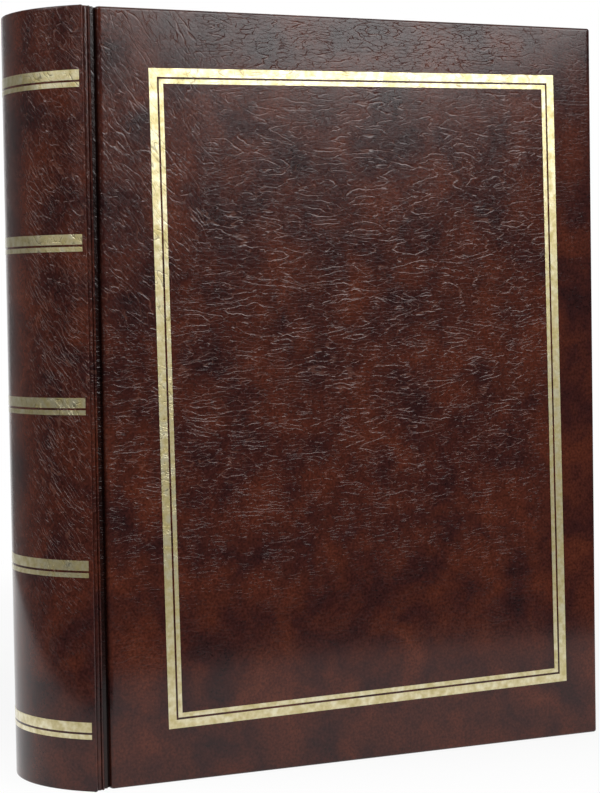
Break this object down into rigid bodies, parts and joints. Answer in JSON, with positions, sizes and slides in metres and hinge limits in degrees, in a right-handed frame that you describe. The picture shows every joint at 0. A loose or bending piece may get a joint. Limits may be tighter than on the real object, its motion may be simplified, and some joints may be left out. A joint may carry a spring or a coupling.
{
  "type": "photo album",
  "caption": "Upright case-bound photo album with a rounded hollow spine, hinged covers, pocket leaves, marbled leatherette and gold foil lines.",
  "frame": {"origin": "under the middle of the closed album, on the surface that its tail edges stand on", "axes": "+X from the spine to the fore-edge, +Y from the front cover to the back cover, +Z from tail to head"},
  "size_m": [0.2681, 0.0778, 0.325],
  "materials": {
    "leatherette": "marbled burgundy-brown coated leatherette, fine crackle grain, satin gloss",
    "gold_foil": "hot-stamped gold foil, bright",
    "grey_board": "raw grey board",
    "endpaper": "plain matt paper",
    "leaf_paper": "white paper under clear pocket film",
    "gauze": "open cotton gauze",
    "lining_paper": "brown lining paper",
    "glue": "dried glue film",
    "headband_cord": "woven tape over a cord",
    "guard_card": "white guard card"
  },
  "bodies": {
    "spine_and_block": {"spine_skin": "leatherette", "spine_card": "grey_board", "spine_liner": "lining_paper", "spine_gauze": "gauze", "spine_glue": "glue", "headband": "headband_cord", "tailband": "headband_cord", "leaf_stubs": "leaf_paper", "guard_strips": "guard_card", "spine_broad_bands": "gold_foil", "spine_thin_bands": "gold_foil"},
    "front_joint": {"front_joint_strip": "leatherette"},
    "front_cover": {"front_board": "grey_board", "front_skin": "leatherette", "front_pastedown": "endpaper", "front_gauze_flange": "gauze", "frame_broad_line": "gold_foil", "frame_thin_line": "gold_foil"},
    "front_flyleaf": {"front_flyleaf": "endpaper"},
    "leaf_01": {"leaf_01": "leaf_paper"},
    "leaf_02": {"leaf_02": "leaf_paper"},
    "leaf_03": {"leaf_03": "leaf_paper"},
    "leaf_04": {"leaf_04": "leaf_paper"},
    "leaf_05": {"leaf_05": "leaf_paper"},
    "leaf_06": {"leaf_06": "leaf_paper"},
    "leaf_07": {"leaf_07": "leaf_paper"},
    "leaf_08": {"leaf_08": "leaf_paper"},
    "leaf_09": {"leaf_09": "leaf_paper"},
    "leaf_10": {"leaf_10": "leaf_paper"},
    "leaf_11": {"leaf_11": "leaf_paper"},
    "leaf_12": {"leaf_12": "leaf_paper"},
    "leaf_13": {"leaf_13": "leaf_paper"},
    "leaf_14": {"leaf_14": "leaf_paper"},
    "leaf_15": {"leaf_15": "leaf_paper"},
    "back_joint": {"back_joint_strip": "leatherette"},
    "back_cover": {"back_board": "grey_board", "back_skin": "leatherette", "back_pastedown": "endpaper", "back_gauze_flange": "gauze"},
    "back_flyleaf": {"back_flyleaf": "endpaper"},
    "leaf_30": {"leaf_30": "leaf_paper"},
    "leaf_29": {"leaf_29": "leaf_paper"},
    "leaf_28": {"leaf_28": "leaf_paper"},
    "leaf_27": {"leaf_27": "leaf_paper"},
    "leaf_26": {"leaf_26": "leaf_paper"},
    "leaf_25": {"leaf_25": "leaf_paper"},
    "leaf_24": {"leaf_24": "leaf_paper"},
    "leaf_23": {"leaf_23": "leaf_paper"},
    "leaf_22": {"leaf_22": "leaf_paper"},
    "leaf_21": {"leaf_21": "leaf_paper"},
    "leaf_20": {"leaf_20": "leaf_paper"},
    "leaf_19": {"leaf_19": "leaf_paper"},
    "leaf_18": {"leaf_18": "leaf_paper"},
    "leaf_17": {"leaf_17": "leaf_paper"},
    "leaf_16": {"leaf_16": "leaf_paper"}
  },
  "joints": [
    {"name": "front_joint_fold", "type": "hinge", "parent": "spine_and_block", "child": "front_joint", "pos_m": [-0.11619, -0.0381, 0], "axis": [0, 0, -1], "range_deg": [0, 90]},
    {"name": "front_cover_fold", "type": "hinge", "parent": "front_joint", "child": "front_cover", "pos_m": [-0.10709, -0.03535, 0], "axis": [0, 0, -1], "range_deg": [0, 90]},
    {"name": "front_flyleaf_fold", "type": "hinge", "parent": "spine_and_block", "child": "front_flyleaf", "pos_m": [-0.10569, -0.03275, 0], "axis": [0, 0, -1], "range_deg": [0, 68.5]},
    {"name": "leaf_01_fold", "type": "hinge", "parent": "spine_and_block", "child": "leaf_01", "pos_m": [-0.10419, -0.0319, 0], "axis": [0, 0, -1], "range_deg": [0, 62.5]},
    {"name": "leaf_02_fold", "type": "hinge", "parent": "spine_and_block", "child": "leaf_02", "pos_m": [-0.10369, -0.0297, 0], "axis": [0, 0, -1], "range_deg": [0, 58.22]},
    {"name": "leaf_03_fold", "type": "hinge", "parent": "spine_and_block", "child": "leaf_03", "pos_m": [-0.10319, -0.0275, 0], "axis": [0, 0, -1], "range_deg": [0, 53.95]},
    {"name": "leaf_04_fold", "type": "hinge", "parent": "spine_and_block", "child": "leaf_04", "pos_m": [-0.10269, -0.0253, 0], "axis": [0, 0, -1], "range_deg": [0, 49.67]},
    {"name": "leaf_05_fold", "type": "hinge", "parent": "spine_and_block", "child": "leaf_05", "pos_m": [-0.10219, -0.0231, 0], "axis": [0, 0, -1], "range_deg": [0, 45.4]},
    {"name": "leaf_06_fold", "type": "hinge", "parent": "spine_and_block", "child": "leaf_06", "pos_m": [-0.10169, -0.0209, 0], "axis": [0, 0, -1], "range_deg": [0, 41.12]},
    {"name": "leaf_07_fold", "type": "hinge", "parent": "spine_and_block", "child": "leaf_07", "pos_m": [-0.10119, -0.0187, 0], "axis": [0, 0, -1], "range_deg": [0, 36.84]},
    {"name": "leaf_08_fold", "type": "hinge", "parent": "spine_and_block", "child": "leaf_08", "pos_m": [-0.10069, -0.0165, 0], "axis": [0, 0, -1], "range_deg": [0, 32.57]},
    {"name": "leaf_09_fold", "type": "hinge", "parent": "spine_and_block", "child": "leaf_09", "pos_m": [-0.10019, -0.0143, 0], "axis": [0, 0, -1], "range_deg": [0, 28.29]},
    {"name": "leaf_10_fold", "type": "hinge", "parent": "spine_and_block", "child": "leaf_10", "pos_m": [-0.09969, -0.0121, 0], "axis": [0, 0, -1], "range_deg": [0, 24.02]},
    {"name": "leaf_11_fold", "type": "hinge", "parent": "spine_and_block", "child": "leaf_11", "pos_m": [-0.09919, -0.0099, 0], "axis": [0, 0, -1], "range_deg": [0, 19.74]},
    {"name": "leaf_12_fold", "type": "hinge", "parent": "spine_and_block", "child": "leaf_12", "pos_m": [-0.09869, -0.0077, 0], "axis": [0, 0, -1], "range_deg": [0, 15.47]},
    {"name": "leaf_13_fold", "type": "hinge", "parent": "spine_and_block", "child": "leaf_13", "pos_m": [-0.09819, -0.0055, 0], "axis": [0, 0, -1], "range_deg": [0, 11.19]},
    {"name": "leaf_14_fold", "type": "hinge", "parent": "spine_and_block", "child": "leaf_14", "pos_m": [-0.09769, -0.0033, 0], "axis": [0, 0, -1], "range_deg": [0, 6.91]},
    {"name": "leaf_15_fold", "type": "hinge", "parent": "spine_and_block", "child": "leaf_15", "pos_m": [-0.09719, -0.0011, 0], "axis": [0, 0, -1], "range_deg": [0, 2.64]},
    {"name": "back_joint_fold", "type": "hinge", "parent": "spine_and_block", "child": "back_joint", "pos_m": [-0.11619, 0.0381, 0], "axis": [0, 0, 1], "range_deg": [0, 90]},
    {"name": "back_cover_fold", "type": "hinge", "parent": "back_joint", "child": "back_cover", "pos_m": [-0.10709, 0.03535, 0], "axis": [0, 0, 1], "range_deg": [0, 90]},
    {"name": "back_flyleaf_fold", "type": "hinge", "parent": "spine_and_block", "child": "back_flyleaf", "pos_m": [-0.10569, 0.03275, 0], "axis": [0, 0, 1], "range_deg": [0, 68.5]},
    {"name": "leaf_30_fold", "type": "hinge", "parent": "spine_and_block", "child": "leaf_30", "pos_m": [-0.10419, 0.0319, 0], "axis": [0, 0, 1], "range_deg": [0, 62.5]},
    {"name": "leaf_29_fold", "type": "hinge", "parent": "spine_and_block", "child": "leaf_29", "pos_m": [-0.10369, 0.0297, 0], "axis": [0, 0, 1], "range_deg": [0, 58.22]},
    {"name": "leaf_28_fold", "type": "hinge", "parent": "spine_and_block", "child": "leaf_28", "pos_m": [-0.10319, 0.0275, 0], "axis": [0, 0, 1], "range_deg": [0, 53.95]},
    {"name": "leaf_27_fold", "type": "hinge", "parent": "spine_and_block", "child": "leaf_27", "pos_m": [-0.10269, 0.0253, 0], "axis": [0, 0, 1], "range_deg": [0, 49.67]},
    {"name": "leaf_26_fold", "type": "hinge", "parent": "spine_and_block", "child": "leaf_26", "pos_m": [-0.10219, 0.0231, 0], "axis": [0, 0, 1], "range_deg": [0, 45.4]},
    {"name": "leaf_25_fold", "type": "hinge", "parent": "spine_and_block", "child": "leaf_25", "pos_m": [-0.10169, 0.0209, 0], "axis": [0, 0, 1], "range_deg": [0, 41.12]},
    {"name": "leaf_24_fold", "type": "hinge", "parent": "spine_and_block", "child": "leaf_24", "pos_m": [-0.10119, 0.0187, 0], "axis": [0, 0, 1], "range_deg": [0, 36.84]},
    {"name": "leaf_23_fold", "type": "hinge", "parent": "spine_and_block", "child": "leaf_23", "pos_m": [-0.10069, 0.0165, 0], "axis": [0, 0, 1], "range_deg": [0, 32.57]},
    {"name": "leaf_22_fold", "type": "hinge", "parent": "spine_and_block", "child": "leaf_22", "pos_m": [-0.10019, 0.0143, 0], "axis": [0, 0, 1], "range_deg": [0, 28.29]},
    {"name": "leaf_21_fold", "type": "hinge", "parent": "spine_and_block", "child": "leaf_21", "pos_m": [-0.09969, 0.0121, 0], "axis": [0, 0, 1], "range_deg": [0, 24.02]},
    {"name": "leaf_20_fold", "type": "hinge", "parent": "spine_and_block", "child": "leaf_20", "pos_m": [-0.09919, 0.0099, 0], "axis": [0, 0, 1], "range_deg": [0, 19.74]},
    {"name": "leaf_19_fold", "type": "hinge", "parent": "spine_and_block", "child": "leaf_19", "pos_m": [-0.09869, 0.0077, 0], "axis": [0, 0, 1], "range_deg": [0, 15.47]},
    {"name": "leaf_18_fold", "type": "hinge", "parent": "spine_and_block", "child": "leaf_18", "pos_m": [-0.09819, 0.0055, 0], "axis": [0, 0, 1], "range_deg": [0, 11.19]},
    {"name": "leaf_17_fold", "type": "hinge", "parent": "spine_and_block", "child": "leaf_17", "pos_m": [-0.09769, 0.0033, 0], "axis": [0, 0, 1], "range_deg": [0, 6.91]},
    {"name": "leaf_16_fold", "type": "hinge", "parent": "spine_and_block", "child": "leaf_16", "pos_m": [-0.09719, 0.0011, 0], "axis": [0, 0, 1], "range_deg": [0, 2.64]}
  ],
  "couplings": [
    {"joint": "front_joint_fold", "follows": "front_cover_fold", "ratio": 1},
    {"joint": "front_flyleaf_fold", "follows": "front_cover_fold", "ratio": 0.75556},
    {"joint": "leaf_01_fold", "follows": "front_cover_fold", "ratio": 0.68889},
    {"joint": "leaf_02_fold", "follows": "front_cover_fold", "ratio": 0.64138},
    {"joint": "leaf_03_fold", "follows": "front_cover_fold", "ratio": 0.59387},
    {"joint": "leaf_04_fold", "follows": "front_cover_fold", "ratio": 0.54636},
    {"joint": "leaf_05_fold", "follows": "front_cover_fold", "ratio": 0.49885},
    {"joint": "leaf_06_fold", "follows": "front_cover_fold", "ratio": 0.45134},
    {"joint": "leaf_07_fold", "follows": "front_cover_fold", "ratio": 0.40383},
    {"joint": "leaf_08_fold", "follows": "front_cover_fold", "ratio": 0.35632},
    {"joint": "leaf_09_fold", "follows": "front_cover_fold", "ratio": 0.30881},
    {"joint": "leaf_10_fold", "follows": "front_cover_fold", "ratio": 0.2613},
    {"joint": "leaf_11_fold", "follows": "front_cover_fold", "ratio": 0.21379},
    {"joint": "leaf_12_fold", "follows": "front_cover_fold", "ratio": 0.16628},
    {"joint": "leaf_13_fold", "follows": "front_cover_fold", "ratio": 0.11877},
    {"joint": "leaf_14_fold", "follows": "front_cover_fold", "ratio": 0.07126},
    {"joint": "leaf_15_fold", "follows": "front_cover_fold", "ratio": 0.02375},
    {"joint": "back_joint_fold", "follows": "back_cover_fold", "ratio": 1},
    {"joint": "back_flyleaf_fold", "follows": "back_cover_fold", "ratio": 0.75556},
    {"joint": "leaf_30_fold", "follows": "back_cover_fold", "ratio": 0.68889},
    {"joint": "leaf_29_fold", "follows": "back_cover_fold", "ratio": 0.64138},
    {"joint": "leaf_28_fold", "follows": "back_cover_fold", "ratio": 0.59387},
    {"joint": "leaf_27_fold", "follows": "back_cover_fold", "ratio": 0.54636},
    {"joint": "leaf_26_fold", "follows": "back_cover_fold", "ratio": 0.49885},
    {"joint": "leaf_25_fold", "follows": "back_cover_fold", "ratio": 0.45134},
    {"joint": "leaf_24_fold", "follows": "back_cover_fold", "ratio": 0.40383},
    {"joint": "leaf_23_fold", "follows": "back_cover_fold", "ratio": 0.35632},
    {"joint": "leaf_22_fold", "follows": "back_cover_fold", "ratio": 0.30881},
    {"joint": "leaf_21_fold", "follows": "back_cover_fold", "ratio": 0.2613},
    {"joint": "leaf_20_fold", "follows": "back_cover_fold", "ratio": 0.21379},
    {"joint": "leaf_19_fold", "follows": "back_cover_fold", "ratio": 0.16628},
    {"joint": "leaf_18_fold", "follows": "back_cover_fold", "ratio": 0.11877},
    {"joint": "leaf_17_fold", "follows": "back_cover_fold", "ratio": 0.07126},
    {"joint": "leaf_16_fold", "follows": "back_cover_fold", "ratio": 0.02375}
  ]
}
